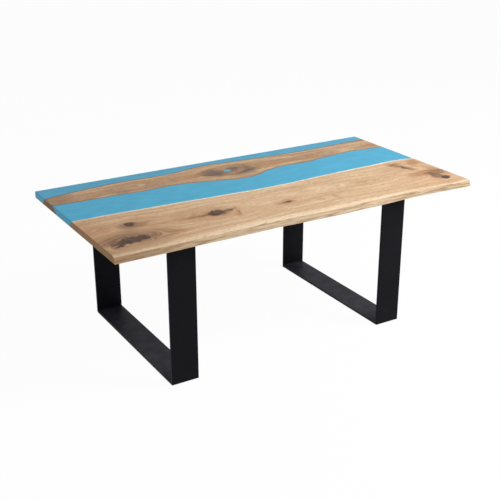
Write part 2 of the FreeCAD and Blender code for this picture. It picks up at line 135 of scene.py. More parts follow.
# Warm brown stains, in the same order of values
front_rust = [
    (921, 360, 110, 38, -66, 0.95), (912, 425, 56, 36, 0, 0.8), (968, 395, 90, 40, 56, 0.85),
    (948, 225, 155, 54, 2, 1), (952, 165, 96, 52, 64, 0.95), (880, 300, 150, 110, 0, 0.3),
    (15, 250, 110, 300, 0, 0.5), (70, 260, 680, 360, 0, 0.36), (985, 330, 70, 260, 0, 0.35),
    (575, 330, 70, 90, 0, 0.3), (890, 30, 300, 50, 0, 0.3), (135, 300, 80, 110, 0, 0.35),
    (205, 264, 150, 10, -1, 0.7), (270, 250, 125, 26, -2, 0.7), (264, 288, 32, 15, 58, 0.6),
    (320, 250, 120, 80, 4, 0.4), (350, 262, 76, 28, 10, 0.7), (358, 200, 60, 26, 66, 0.6),
    (498, 212, 74, 38, 8, 0.6), (150, 145, 150, 90, 0, 0.5), (105, 300, 74, 66, 0, 0.45),
    (30, 150, 90, 110, 0, 0.45),
]
middle_rust = [
    (502, 715, 60, 34, 0, 0.55), (400, 800, 150, 70, 0, 0.35), (610, 800, 150, 70, 0, 0.35),
]
# Where pale ray flecks show, in the same order of values
front_flecked = [
    (690, 275, 190, 50, -6, 1), (760, 290, 210, 60, 0, 0.8), (560, 360, 160, 50, 0, 0.55),
    (390, 370, 170, 40, 4, 0.6), (220, 400, 150, 40, 0, 0.5),
]
middle_flecked = [
    (680, 830, 190, 50, 0, 0.8), (300, 830, 180, 50, 0, 0.7), (860, 830, 170, 50, 0, 0.8),
]
# Dark fillers, the same ovals as in the construction: place, half length and half width in
# thousandths of the width, and turn in degrees
knot_filler_share = [
    (106.5, 328, 23, 22, 10), (38, 104, 16, 9, 30), (66.5, 142, 30, 24, 8),
    (100.5, 146, 15, 14, -10), (314, 250, 36, 24, 5), (352, 250, 14, 7, 10), (500, 212, 14, 7, 0),
    (919, 345, 22, 7, -60), (960, 108, 20, 17, 0),
]
knot_outline_share = [1.0, 0.86, 1.04, 0.92, 1.0, 0.84, 0.98, 1.08, 0.95, 0.88]


def smooth_edge(shares, at):
    """A curve with steady bends through the shares, read at every station."""
    u, v = np.array(shares).T / 1000
    gap, count = np.diff(u), len(u)
    rows, turn = np.eye(count), np.zeros(count)
    for i in range(1, count - 1):
        rows[i, i - 1:i + 2] = gap[i - 1], 2 * (gap[i - 1] + gap[i]), gap[i]
        turn[i] = 6 * ((v[i + 1] - v[i]) / gap[i] - (v[i] - v[i - 1]) / gap[i - 1])
    bend = np.linalg.solve(rows, turn)
    k = np.clip(np.searchsorted(u, at) - 1, 0, count - 2)
    t, g = at - u[k], gap[k]
    rise = (v[k + 1] - v[k]) / g - g * (2 * bend[k] + bend[k + 1]) / 6
    return v[k] + t * rise + t * t * bend[k] / 2 + t ** 3 * (bend[k + 1] - bend[k]) / (6 * g)


def bark_wiggle(at, seed, depth, length):
    """Small unevenness of a natural edge, fading to nothing at the sawn ends."""
    rough = np.array([noise.noise((x * top_length / length, seed, 0.0))
                      + 0.5 * noise.noise((x * top_length / length * 2.7, seed, 5.0))
                      for x in at])
    return rough * depth * np.clip(np.minimum(at, 1 - at) * 30, 0, 1)


# The stations, with one more where each sawn end's arris begins, and the faces' heights there
station_count = int(round(top_length / station_step)) + 1
ease_share = end_ease / top_length
shares_along = np.sort(np.append(np.linspace(0.0, 1.0, station_count),
                                 [ease_share, 1.0 - ease_share]))
along = board_low.x + shares_along * top_length
ease = np.where((shares_along < ease_share / 2) | (shares_along > 1 - ease_share / 2),
                end_ease, 0.0)
face_top = (top_face - face_drop - ease)[:, None]
face_low = (underside + face_drop + ease)[:, None]


def across(shares, seed, depth=0.0, length=0.05):
    """An edge's distance from the front at every station, with its natural unevenness."""
    edge = front_line + smooth_edge(shares, shares_along) * top_width
    return edge + bark_wiggle(shares_along, seed, depth, length)


river_front = across(river_front_share, 1.0, 1.2 * MM, 0.06)
river_rear = across(river_rear_share, 2.0, 1.6 * MM, 0.05)
middle_rear = across(middle_rear_share, 3.0, 1.6 * MM, 0.05)
front_top = across(front_top_share, 4.0, 3.0 * MM, 0.08)
front_shoulder = across(front_shoulder_share, 5.0, 1.2 * MM, 0.09)
front_bottom = across(front_bottom_share, 6.0)
top_rear = np.full(len(along), front_line + top_width)


def spread(start, stop, count, crowd=0.65):
    """Points from start to stop at each station, closer together near both edges."""
    even = np.linspace(0.0, 1.0, count)
    share = (1 - crowd) * even + crowd * (0.5 - 0.5 * np.cos(np.pi * even))
    return start[:, None] * (1 - share) + stop[:, None] * share


def new_object(name, data):
    """An object of the scene, at the origin, unturned and unscaled."""
    made = bpy.data.objects.new(name, data)
    bpy.context.scene.collection.objects.link(made)
    return made


def plain_piece(name, points, faces, sharp_angle=32.0):
    """A closed piece whose faces point outwards, smooth but for the edges above an angle."""
    mesh = bpy.data.meshes.new(name)
    mesh.from_pydata(points, [], faces)
    turned = bmesh.new()
    turned.from_mesh(mesh)
    bmesh.ops.recalc_face_normals(turned, faces=turned.faces)
    turned.to_mesh(mesh)
    turned.free()
    mesh.shade_smooth()
    mesh.set_sharp_from_angle(angle=math.radians(sharp_angle))
    return new_object(name, mesh)


def tube_faces(ring, rows, start=0):
    """The faces of a tube through rows of points, a ring in each row, with both ends closed."""
    faces = [tuple(start + i for i in range(ring)),
             tuple(start + (rows - 1) * ring + i for i in reversed(range(ring)))]
    for row in range(rows - 1):
        for i in range(ring):
            a, b = start + row * ring + i, start + row * ring + (i + 1) % ring
            faces.append((a, a + ring, b + ring, b))
    return faces


def slab(name, front_face, rear_face, top_count):
    """A closed slab from its front and rear faces, each a row of (y, z) from top to bottom."""
    top_y = spread(front_face[:, 0, 0], rear_face[:, 0, 0], top_count)[:, 1:-1]
    top_z = np.repeat(front_face[:, :1, 1], top_y.shape[1], axis=1)
    low_y = spread(rear_face[:, -1, 0], front_face[:, -1, 0], 12, 0.0)[:, 1:-1]
    low_z = np.repeat(rear_face[:, -1:, 1], low_y.shape[1], axis=1)
    loop_y = np.concatenate([top_y, rear_face[:, :, 0], low_y, front_face[:, ::-1, 0]], axis=1)
    loop_z = np.concatenate([top_z, rear_face[:, :, 1], low_z, front_face[:, ::-1, 1]], axis=1)
    stations, ring = loop_y.shape
    points = np.stack([np.repeat(along[:, None], ring, axis=1), loop_y, loop_z], axis=2)
    return plain_piece(name, points.reshape(-1, 3).tolist(), tube_faces(ring, stations))


def straight_face(top_edge, lean, count=5):
    """A leaning face under a straight cut: rows of (y, z) from the top edge down."""
    share = np.linspace(0.0, 1.0, count)
    return np.stack([top_edge[:, None] + lean * share,
                     face_top * (1 - share) + face_low * share], axis=2)


def natural_face():
    """The natural front edge: a shallow slope, a worn arris, then a steep and ridged face."""
    top, turn, bottom = front_top[:, None], front_shoulder[:, None], front_bottom[:, None]
    turn_z = face_top - slope_drop
    down = np.linspace(0.0, 1.0, 6)[None, :]
    slope_y = top + (turn - top) * slope_share * down
    slope_z = face_top + (turn_z - face_top) * (slope_share * down) ** slope_curve
    steep_y = turn + (bottom - turn) * arris_share
    steep_z = turn_z + (face_low - turn_z) * arris_share
    bend = np.array([0.25, 0.5, 0.75])[None, :]
    worn_y, worn_z = (
        (1 - bend) ** 2 * slope[:, -1:] + 2 * bend * (1 - bend) * corner + bend ** 2 * steep
        for slope, corner, steep in ((slope_y, turn, steep_y), (slope_z, turn_z, steep_z)))
    down = np.linspace(0.0, 1.0, 8)[None, :]
    y = np.concatenate([slope_y, worn_y, steep_y + (bottom - steep_y) * down], axis=1)
    z = np.concatenate([slope_z, worn_z, steep_z + (face_low - steep_z) * down], axis=1)
    # Long shallow ridges along the fibres, fading out at the sawn ends
    fade = np.clip(np.minimum(shares_along, 1 - shares_along) * 40, 0, 1)
    rows = y.shape[1]
    for i in range(2, rows - 1):
        level = i / rows
        ridge = np.array([noise.noise((x * 5.0, level * 4.0, 9.0))
                          + 0.7 * noise.noise((x * 19.0, level * 9.0, 3.0)) for x in along])
        y[:, i] += np.abs(ridge) * ridge_depth * math.sin(math.pi * level) * fade
    return np.stack([y, z], axis=2)


front_live_face = straight_face(river_front, front_lean)
middle_live_face = straight_face(river_rear, -middle_front_lean)
middle_rear_face = straight_face(middle_rear, middle_rear_lean)
front_board = slab("front_board_slab", natural_face(), front_live_face, 108)
river_casting = slab("river_casting", front_live_face, middle_live_face, 28)
middle_board = slab("middle_board_slab", middle_live_face, middle_rear_face, 64)
edge_casting = slab("edge_casting", middle_rear_face, straight_face(top_rear, 0.0), 12)


def on_top(share_x, share_y):
    """A place in thousandths of the length and width as x and y in metres."""
    return board_low.x + share_x / 1000 * top_length, front_line + share_y / 1000 * top_width


def seen_from_knot(x, y, share_x, share_y, half_long, half_wide, turn):
    """Places along and across a knot, counted in its own half length and half width."""
    knot_x, knot_y = on_top(share_x, share_y)
    dx, dy = x - knot_x, y - knot_y
    c, s = math.cos(math.radians(turn)), math.sin(math.radians(turn))
    return (c * dx + s * dy) / (half_long * MM), (c * dy - s * dx) / (half_wide * MM)


def soft_step(value, start, stop):
    share = np.clip((value - start) / (stop - start), 0.0, 1.0)
    return share * share * (3 - 2 * share)


def grain_marks(piece, front_edge, rear_edge, knots, **marks):
    """Stores on a board's points how far they lie behind its two natural edges and how far the
    knots push the fibres aside, in metres, and how strongly the hearts and the marks round them
    colour the wood. Hearts and marks get outlines torn in steps of 26 mm and 11 mm."""
    places = np.zeros(len(piece.data.vertices) * 3)
    piece.data.vertices.foreach_get("co", places)
    x, y, _ = places.reshape(-1, 3).T
    shake = np.array([tuple(noise.noise_vector((at_x * 38, at_y * 38, 0.0))
                            + 0.6 * noise.noise_vector((at_x * 95, at_y * 95, 7.0)))
                      for at_x, at_y in zip(x, y)])
    torn_x = x + shake[:, 0] * tear_long * MM
    torn_y = y + shake[:, 1] * tear_wide * MM
    push, heart = np.zeros((2, len(x)))
    for *place, dark in knots:
        ahead, aside = seen_from_knot(x, y, *place)
        push += aside * place[3] * MM / (1 + 0.30 * (ahead ** 2 + aside ** 2))
        ahead, aside = seen_from_knot(torn_x, torn_y, *place)
        heart = np.maximum(heart, dark * soft_step(np.hypot(ahead, aside), 1.25, 0.55))
    stored = {"behind_front": y - np.interp(x, along, front_edge),
              "behind_river": y - np.interp(x, along, rear_edge),
              "fibre_push": push, "heart": heart}
    for name, ovals in marks.items():
        clean = np.ones(len(x))
        for oval in ovals:
            place, strong, crack = oval[:5], oval[5], oval[6:]
            ahead, aside = seen_from_knot(torn_x, torn_y, *place)
            share = soft_step(np.hypot(ahead, aside), 1.1, 0.3)
            if crack:
                share *= soft_step(aside, crack[0], crack[0] + 0.1)
            clean *= 1 - strong * share
        stored[name] = 1 - clean
    for name, values in stored.items():
        layer = piece.data.attributes.new(name, "FLOAT", "POINT")
        layer.data.foreach_set("value", values.astype(np.float32))


grain_marks(front_board, front_top, river_front, front_knots,
            stain=front_stains, rust=front_rust, flecked=front_flecked)
grain_marks(middle_board, river_rear, middle_rear, middle_knots,
            stain=middle_stains, rust=middle_rust, flecked=middle_flecked)


def torn_fillers(name, count=96):
    """The dark filler let into each cracked knot, in one piece, with torn rims."""
    points, faces = [], []
    waves = len(knot_outline_share)
    for share_x, share_y, half_long, half_wide, turn in knot_filler_share:
        faces += tube_faces(count, 3, len(points))
        middle_x, middle_y = on_top(share_x, share_y)
        c, s = math.cos(math.radians(turn)), math.sin(math.radians(turn))
        for grow, z in ((0.97, top_face), (1.0, top_face - filler_ease),
                        (1.0, top_face - filler_depth)):
            for i in range(count):
                angle = 2 * math.pi * i / count
                k = int(i / count * waves)
                blend = (1 - math.cos((i / count * waves - k) * math.pi)) / 2
                even = (knot_outline_share[k] * (1 - blend)
                        + knot_outline_share[(k + 1) % waves] * blend)
                x, y = math.cos(angle), math.sin(angle)
                rough = noise.noise((3 * x + 0.04 * share_x, 3 * y, 1.0))
                sharp = noise.noise((9 * x + 0.04 * share_x, 9 * y, 4.0))
                reach = even * (0.90 + 0.22 * rough + 0.13 * sharp) * grow * top_width / 1000
                ahead, aside = reach * half_long * x, reach * half_wide * y
                points.append((middle_x + c * ahead - s * aside,
                               middle_y + s * ahead + c * aside, z))
    return plain_piece(name, points, faces)


knot_fills = torn_fillers("torn_knot_fillers")


def bolt_form(count=36):
    """A socket button-head bolt, head down, its head's bearing face at z = 0."""
    rings = [(bolt_shank_radius - tip_ease, bolt_length),
             (bolt_shank_radius, bolt_length - tip_ease), (bolt_shank_radius, 0.0),
             (bolt_head_radius, 0.0), (bolt_head_radius, -head_rim)]
    for step in (0.3, 0.55, 0.78, 0.93, 1.0):
        turn = step * dome_turn
        inward = (1 - math.cos(turn)) / (1 - math.cos(dome_turn))
        down = (bolt_rise - head_rim) * math.sin(turn) / math.sin(dome_turn)
        rings.append((bolt_head_radius * (1 - 0.50 * inward), -head_rim - down))
    # The last two rings are the hexagon socket: its flats stand nearest at the middle of a side
    rings += [(None, -bolt_rise), (None, -bolt_rise + socket_depth)]
    points = []
    for radius, z in rings:
        for i in range(count):
            angle = 2 * math.pi * i / count
            away = radius or socket_flat / math.cos((angle % (math.pi / 3)) - math.pi / 6)
            points.append((away * math.cos(angle), away * math.sin(angle), z))
    return plain_piece("bolt_form", points, tube_faces(count, len(rings)), 28.0)


def ripple_form(arc=10):
    """One ripple of a weld bead: a short crescent that fills the corner between two bars."""
    points = []
    sections = ((0.0, 0.90), (0.35, 1.0), (0.75, 0.98), (1.25, 0.88))
    for ahead, grow in sections:
        points.append((ahead * weld_pitch, 0.0, 0.0))
        for i in range(arc + 1):
            angle = math.pi / 2 * i / arc
            bow = math.sin(2 * angle)
            reach = weld_leg * grow * (1.0 - 0.20 * bow ** 2)
            points.append((ahead * weld_pitch + 0.5 * weld_pitch * bow,
                           reach * math.cos(angle), reach * math.sin(angle)))
    return plain_piece("ripple_form", points, tube_faces(arc + 2, len(sections)), 40.0)


def tone(hex_value):
    """An sRGB hex colour as linear red, green, blue and a full alpha."""
    parts = [int(hex_value[i:i + 2], 16) / 255 for i in (1, 3, 5)]
    return tuple(p / 12.92 if p <= 0.04045 else ((p + 0.055) / 1.055) ** 2.4
                 for p in parts) + (1.0,)


def add(tree, kind, settings=None, links=None):
    """Adds one node: settings name its options or its inputs' values, and links its incoming
    sockets, or nodes of which the first output in use is meant."""
    node = tree.nodes.new(kind)
    for key, value in (settings or {}).items():
        if isinstance(key, str) and hasattr(node, key):
            setattr(node, key, value)
        else:
            node.inputs[key].default_value = value
    for key, source in (links or {}).items():
        if isinstance(source, bpy.types.Node):
            source = next(socket for socket in source.outputs if socket.enabled)
        tree.links.new(source, node.inputs[key])
    return node


def new_material(name):
    material = bpy.data.materials.new(name)
    material.use_nodes = True
    material.node_tree.nodes.clear()
    return material, material.node_tree


def finish_surface(tree, settings, base, dull, height, depth, strength):
    """Ends a material with its colour, its roughness where that changes, a bump as deep as
    given in metres, the shader and the output."""
    links = {"Base Color": base, "Roughness": dull} if dull else {"Base Color": base}
    links["Normal"] = add(tree, "ShaderNodeBump", {"Strength": strength, "Distance": depth},
                          {"Height": height})
    shader = add(tree, "ShaderNodeBsdfPrincipled", settings, links)
    add(tree, "ShaderNodeOutputMaterial", None, {"Surface": shader})


def sawn_oak(name, tones, shares, pith, front_band, river_band, seed):
    """Flat-sawn oak, sanded and hard-waxed: soft lengthwise streaks from the growth rings, fine
    open pores, pale ray flecks, grain that swims round cracked dark knots, and its own colour
    along each natural edge. The eye sees a warm board with a dull sheen. The pith is given as
    its y and z, and a band along an edge as the sign of its distance, where it is full and
    where it ends, in mm, and how strong it is."""
    material, tree = new_material(name)
    place = add(tree, "ShaderNodeTexCoord").outputs["Object"]
    at_x, at_y, at_z = add(tree, "ShaderNodeSeparateXYZ", None, {0: place}).outputs
    normal = add(tree, "ShaderNodeNewGeometry").outputs["True Normal"]
    facing_x, facing_y, _ = add(tree, "ShaderNodeSeparateXYZ", None, {0: normal}).outputs
    push, heart, stain, rust, flecked, behind_front, behind_river = (
        add(tree, "ShaderNodeAttribute", {"attribute_name": mark}).outputs["Fac"]
        for mark in ("fibre_push", "heart", "stain", "rust", "flecked", "behind_front",
                     "behind_river"))

    patterns = []
    for scale, shift, detail, roughness, distortion in (
            # The stem was not straight: its middle wanders by some 30 mm over half a metre
            ((1.8, 1.4, 4.0), (seed, seed * 2.3, 0.0), 2.5, 0.5, 0.0),
            # Zones: slow changes of colour over a few hundred millimetres
            ((3.2, 9.0, 3.0), (seed, seed, seed), 3.0, 0.5, 0.5),
            # Tears across the grain every 11 mm
            ([1 / (size * MM) for size in (11, 24, 24)], (0.0, 0.0, 0.0), 4.0, 0.65, 0.0),
            # Streaks 130 mm long on the natural face, where bark came away
            ([1 / (size * MM) for size in (130, 100, 9)], (0.0, 0.0, 0.0), 4.0, 0.68, 0.25)):
        drawn = add(tree, "ShaderNodeVectorMath",
                    {"operation": "MULTIPLY_ADD", 1: scale, 2: shift}, {0: place})
        patterns.append(add(tree, "ShaderNodeTexNoise",
                            {"Scale": 1.0, "Detail": detail, "Roughness": roughness,
                             "Distortion": distortion}, {"Vector": drawn}))
    wander, zones, tear, bark = patterns

    # Growth rings: distance from the pith, which lies under the board
    fibre_y = add(tree, "ShaderNodeMath", {"operation": "SUBTRACT"}, {0: at_y, 1: push})
    wander_parts = add(tree, "ShaderNodeSeparateXYZ", None, {0: wander.outputs["Color"]})
    away = []
    for axis, start, reach in ((0, fibre_y, 0.09), (1, at_z, 0.05)):
        middle = add(tree, "ShaderNodeMath",
                     {"operation": "MULTIPLY_ADD", 1: reach, 2: pith[axis] - reach / 2},
                     {0: wander_parts.outputs[axis]})
        away.append(add(tree, "ShaderNodeMath", {"operation": "SUBTRACT"}, {0: start, 1: middle}))
    from_pith = add(tree, "ShaderNodeCombineXYZ", None, {1: away[0], 2: away[1]})
    radius = add(tree, "ShaderNodeVectorMath", {"operation": "LENGTH"}, {0: from_pith})

    # Streaks of 16 mm and 4 mm across, drawn long along the board
    streak_vector = add(tree, "ShaderNodeCombineXYZ", None, {0: radius, 1: at_x})
    streaks = []
    for width, per_metre, detail, roughness in ((16, 1.5, 3.0, 0.62), (4, 6.0, 4.0, 0.65)):
        drawn = add(tree, "ShaderNodeVectorMath",
                    {"operation": "MULTIPLY", 1: (1 / (width * MM), per_metre, 1.0)},
                    {0: streak_vector})
        streaks.append(add(tree, "ShaderNodeTexNoise",
                           {"Scale": 1.0, "Detail": detail, "Roughness": roughness},
                           {"Vector": drawn}))
    wide_streak, fine_streak = streaks
    # Each year's ring ends in a thin dark line, 6 mm apart, coarser than the real 2 mm to show
    ring_phase = add(tree, "ShaderNodeMath", {"operation": "MULTIPLY_ADD", 1: 1 / (6 * MM)},
                     {0: radius, 2: wide_streak})
    ring_saw = add(tree, "ShaderNodeMath", {"operation": "FRACT"}, {0: ring_phase})
    ring_line = add(tree, "ShaderNodeMath", {"operation": "POWER", 1: 4.0}, {0: ring_saw})

    # Ray flecks: pale dashes 34 mm by 6 mm that lie across the grain
    fleck_place = add(tree, "ShaderNodeMapping",
                      {"vector_type": "POINT", "Rotation": (0.0, 0.0, math.radians(-52.0)),
                       "Scale": (30.0, 165.0, 30.0)}, {"Vector": place})
    dashes = add(tree, "ShaderNodeTexNoise", {"Scale": 1.0, "Detail": 2.0},
                 {"Vector": fleck_place})
    # Open pores: dashes 1.6 mm by 26 mm, about five times the real width so that they show
    pore_vector = add(tree, "ShaderNodeCombineXYZ", None, {0: at_x, 1: fibre_y, 2: at_z})
    pore_place = add(tree, "ShaderNodeVectorMath",
                     {"operation": "MULTIPLY", 1: [1 / (size * MM) for size in (26, 1.6, 1.6)]},
                     {0: pore_vector})
    pores = add(tree, "ShaderNodeTexNoise", {"Scale": 1.0, "Detail": 1.0}, {"Vector": pore_place})
    end_pores = add(tree, "ShaderNodeTexVoronoi", {"Scale": 1 / (1.8 * MM)}, {"Vector": place})
    # The torn hearts of the knots, and the fine cracks that run out of them, 38 mm apart
    torn = add(tree, "ShaderNodeMath", {"operation": "MULTIPLY_ADD", 1: 0.9, 2: -0.45}, {0: tear})
    torn_heart = add(tree, "ShaderNodeMath", {"operation": "ADD"}, {0: heart, 1: torn})
    crack_place = add(tree, "ShaderNodeVectorMath",
                      {"operation": "MULTIPLY_ADD", 1: (0.030, 0.022, 0.0)},
                      {0: tear.outputs["Color"], 2: place})
    cracks = add(tree, "ShaderNodeTexVoronoi",
                 {"feature": "DISTANCE_TO_EDGE", "Scale": 1 / (38 * MM)},
                 {"Vector": crack_place})
    # The bands along the natural edges have limits broken up by the grain
    ragged = add(tree, "ShaderNodeMath", {"operation": "MULTIPLY_ADD", 1: 0.020, 2: -0.010},
                 {0: fine_streak})
    bands = []
    for word, behind, (sign, full, stop, strong) in (("front_band", behind_front, front_band),
                                                     ("river_band", behind_river, river_band)):
        reach = add(tree, "ShaderNodeMath", {"operation": "MULTIPLY_ADD", 1: sign},
                    {0: behind, 2: ragged})
        bands.append((word, reach, stop * MM, full * MM, strong))
    facing_end = add(tree, "ShaderNodeMath", {"operation": "ABSOLUTE"}, {0: facing_x})

    # How far each pattern colours the wood: not at all at its first value, most at its second
    share = {}
    for word, pattern, none, full, most in [
            ("dark", wide_streak, 0.36, 0.64, 1.0),
            ("fibre", fine_streak, 0.36, 0.68, 0.6),
            ("ring", ring_line, 0.0, 1.0, shares["ring"]),
            ("zone", zones, 0.45, 0.66, shares["zone"]),
            ("fleck_dash", dashes, 0.57, 0.66, 0.85),
            ("fleck_zone", zones, 0.50, 0.36, 0.5),
            ("torn_heart", torn_heart, 0.15, 0.58, shares["heart"]),
            ("near_heart", heart, 0.02, 0.2, 1.0),
            ("crack_line", cracks.outputs["Distance"], 0.05, 0.015, 1.0),
            ("crack_near", heart, 0.05, 0.40, shares["crack"]),
            ("pore", pores, 0.54, 0.70, 0.75),
            ("bark", bark, 0.38, 0.68, 1.0),
            # Painted shade: the natural face darkens towards the left end
            ("left", at_x, -0.50, -0.90, 0.60),
            ("end_pore", end_pores.outputs["Distance"], 0.34, 0.12, 0.5),
            ("front_face", facing_y, -0.55, -0.85, 1.0),
            ("sawn_end", facing_end, 0.6, 0.95, 1.0)] + bands:
        smooth = word in ("dark", "zone", "bark", "front_band", "river_band")
        share[word] = add(tree, "ShaderNodeMapRange",
                          {"From Min": none, "From Max": full, "To Max": most,
                           "interpolation_type": "SMOOTHSTEP" if smooth else "LINEAR"},
                          {"Value": pattern})
    # Flecks show where the board's points say so, and thinly in the paler zones
    fleck_most = add(tree, "ShaderNodeMath", {"operation": "MAXIMUM"},
                     {0: share["fleck_zone"], 1: flecked})
    # Stains are streaked by the fibres and swirled by the rings
    soak = add(tree, "ShaderNodeMapRange",
               {"From Min": 0.34, "From Max": 0.60, "To Min": 0.52, "To Max": 1.2},
               {"Value": fine_streak})
    for word, first, second in (("fleck", share["fleck_dash"], fleck_most),
                                ("rust", rust, soak), ("stain", stain, soak),
                                ("swirl", ring_line, stain),
                                ("heart", share["torn_heart"], share["near_heart"]),
                                ("crack", share["crack_line"], share["crack_near"]),
                                ("rough_face", bark, share["front_face"])):
        share[word] = add(tree, "ShaderNodeMath", {"operation": "MULTIPLY", "use_clamp": True},
                          {0: first, 1: second})

    # The colours of the top, each laid over the ones before it
    base = add(tree, "ShaderNodeMix", {"data_type": "RGBA", 6: tone(tones["light"]),
                                       7: tone(tones["dark"])}, {0: share["dark"]})
    for word in ("fibre", "ring", "zone", "fleck", "front_band", "river_band", "rust", "stain",
                 "swirl", "heart", "crack", "pore"):
        base = add(tree, "ShaderNodeMix", {"data_type": "RGBA", 7: tone(tones[word])},
                   {0: share[word], 6: base})
    # The natural face is weathered, with brown bark streaks, and is painted darker and browner
    # towards the left end as painted shade, away from the light on the right.
    # Sawn ends drink more finish: darker, with the rings and pores standing out.
    for word, pale, deep, by, last, last_share in (
            ("front_face", "face_light", "face_dark", share["bark"], "end_dark", share["left"]),
            ("sawn_end", "end_light", "end_dark", ring_saw, "end_pore", share["end_pore"])):
        other = add(tree, "ShaderNodeMix", {"data_type": "RGBA", 6: tone(tones[pale]),
                                            7: tone(tones[deep])}, {0: by})
        other = add(tree, "ShaderNodeMix", {"data_type": "RGBA", 7: tone(tones[last])},
                    {0: last_share, 6: other})
        base = add(tree, "ShaderNodeMix", {"data_type": "RGBA"},
                   {0: share[word], 6: base, 7: other})

    # Relief: pores and cracks are cut a few tenths deep, and the natural face is rougher
    relief = fine_streak
    for depth, word in ((-0.7, "pore"), (-1.6, "crack"), (5.0, "rough_face")):
        relief = add(tree, "ShaderNodeMath", {"operation": "MULTIPLY_ADD", 1: depth},
                     {0: share[word], 2: relief})
    dull = add(tree, "ShaderNodeMapRange", {"To Min": 0.50, "To Max": 0.66},
               {"Value": wide_streak})
    finish_surface(tree, {"IOR": 1.5, "Specular IOR Level": 0.14}, base, dull, relief,
                   0.25 * MM, 0.6)
    return material


front_oak = sawn_oak(
    "flat_sawn_pale_oak_hard_wax",
    {"light": "#E2C7A4", "dark": "#C4A17E", "fibre": "#C5A380", "ring": "#A58060",
     "zone": "#C49D7B", "fleck": "#EED8BA", "front_band": "#E2CBAC", "river_band": "#F4E5CC",
     "rust": "#A47650", "stain": "#7D5D46", "swirl": "#6B4D3A", "heart": "#3B2721",
     "crack": "#2B201C", "pore": "#8E6B49", "face_light": "#BFA88B", "face_dark": "#8E7255",
     "end_light": "#A8845E", "end_dark": "#835F3F", "end_pore": "#694B31"},
    {"ring": 0.42, "zone": 0.40, "heart": 0.90, "crack": 0.6},
    (front_line + 0.27 * top_width, underside - 0.07), (1, -8, 4, 0.80), (-1, 6, 17, 0.90), 3.1)
middle_oak = sawn_oak(
    "flat_sawn_brown_oak_hard_wax",
    {"light": "#DBBC97", "dark": "#A58161", "fibre": "#B18D6C", "ring": "#70523A",
     "zone": "#BC926F", "fleck": "#D8B690", "front_band": "#604738", "river_band": "#604738",
     "rust": "#A8754A", "stain": "#6A574A", "swirl": "#4E403A", "heart": "#4A3A33",
     "crack": "#2B201C", "pore": "#654B36", "face_light": "#80664C", "face_dark": "#695038",
     "end_light": "#80664C", "end_dark": "#695038", "end_pore": "#4E3A28"},
    {"ring": 0.55, "zone": 0.55, "heart": 0.85, "crack": 0.12},
    (front_line + 0.80 * top_width, underside - 0.05), (1, 3, 13, 0.88), (-1, 3, 13, 0.88), 8.7)


def cast_resin(name, deep, pale):
    """Pigmented epoxy, poured and sanded satin: an even opaque blue with faint cloudy swirls
    from stirring and a few pin bubbles. The eye sees a clean milky blue with a soft sheen."""
    material, tree = new_material(name)
    place = add(tree, "ShaderNodeTexCoord").outputs["Object"]
    swirl_vector = add(tree, "ShaderNodeVectorMath",
                       {"operation": "MULTIPLY", 1: (5.0, 11.0, 11.0)}, {0: place})
    swirl = add(tree, "ShaderNodeTexNoise",
                {"Scale": 1.0, "Detail": 5.0, "Roughness": 0.55, "Distortion": 1.6},
                {"Vector": swirl_vector})
    cloud = add(tree, "ShaderNodeMapRange",
                {"From Min": 0.35, "From Max": 0.68, "interpolation_type": "SMOOTHSTEP"},
                {"Value": swirl})
    base = add(tree, "ShaderNodeMix", {"data_type": "RGBA", 6: tone(deep), 7: tone(pale)},
               {0: cloud})
    # Painted light: the cut ends are painted a greener, stronger blue for the light that comes out
    # through the resin there
    normal = add(tree, "ShaderNodeNewGeometry").outputs["True Normal"]
    facing = add(tree, "ShaderNodeSeparateXYZ", None, {0: normal})
    endward = add(tree, "ShaderNodeMath", {"operation": "ABSOLUTE"}, {0: facing.outputs["X"]})
    painted_end_light = add(tree, "ShaderNodeMapRange", {"From Min": 0.6, "From Max": 0.95, "To Max": 0.9},
                 {"Value": endward})
    # Pin bubbles about 1 mm across, 25 mm apart
    cells = add(tree, "ShaderNodeTexVoronoi", {"Scale": 1 / (25 * MM)}, {"Vector": place})
    bubble = add(tree, "ShaderNodeMapRange",
                 {"From Min": 0.030, "From Max": 0.014, "To Max": 0.5},
                 {"Value": cells.outputs["Distance"]})
    for share, colour in ((painted_end_light, "#0A9BBF"), (bubble, "#9CCFE6")):
        base = add(tree, "ShaderNodeMix", {"data_type": "RGBA", 7: tone(colour)},
                   {0: share, 6: base})
    sanding = add(tree, "ShaderNodeTexNoise", {"Scale": 1 / (2.5 * MM), "Detail": 2.0},
                  {"Vector": place})
    dull = add(tree, "ShaderNodeMapRange", {"To Min": 0.26, "To Max": 0.38}, {"Value": sanding})
    relief = add(tree, "ShaderNodeMath", {"operation": "MULTIPLY_ADD", 1: 0.12},
                 {0: sanding, 2: swirl})
    finish_surface(tree, {"IOR": 1.55, "Specular IOR Level": 0.08}, base, dull, relief,
                   0.5 * MM, 0.16)
    return material


blue_resin = cast_resin("pigmented_epoxy_satin", "#2D98BB", "#339FC2")
# Painted shade: the rear strip is the same resin, given a slightly deeper blue because it looks
# darker there
edge_blue_painted_shade = cast_resin("pigmented_epoxy_painted_shade", "#2D8EB0", "#3397B9")


